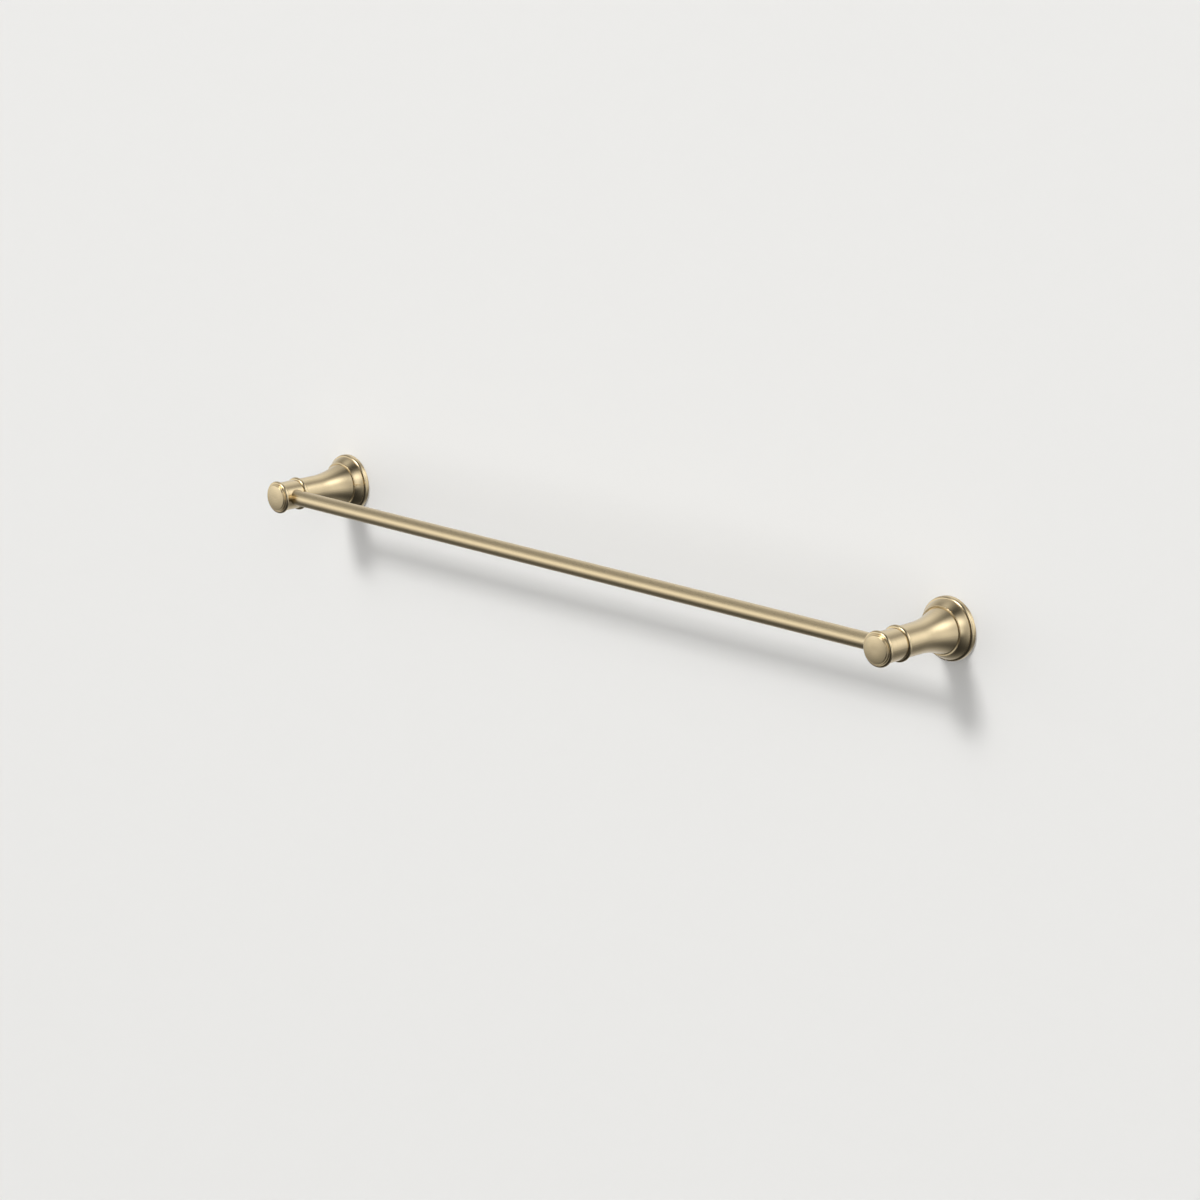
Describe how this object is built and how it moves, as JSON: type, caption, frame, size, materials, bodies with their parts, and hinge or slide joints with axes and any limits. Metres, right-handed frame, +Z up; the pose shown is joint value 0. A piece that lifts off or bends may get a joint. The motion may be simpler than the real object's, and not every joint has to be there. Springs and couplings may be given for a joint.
{
  "type": "towel rail",
  "caption": "Wall-mounted towel rail: a round bar held between turned posts with flared feet, moulded wall flanges and stepped end caps, in brushed champagne brass.",
  "frame": {"origin": "on the wall, midway between the two posts, at the height of the posts' axes", "axes": "+X along the bar to the right as seen from the room, +Y into the wall, +Z up"},
  "size_m": [0.6548, 0.077, 0.0448],
  "materials": {
    "brass": "fine brushed champagne brass, lacquered",
    "steel": "plain turned stainless steel"
  },
  "bodies": {
    "root": {"rail_bar": "brass", "left_flange": "brass", "left_post": "brass", "left_cap": "brass", "left_wall_bracket": "steel", "right_flange": "brass", "right_post": "brass", "right_cap": "brass", "right_wall_bracket": "steel", "grub_screws": "steel", "post_screws": "steel", "cap_studs": "steel"}
  },
  "joints": []
}
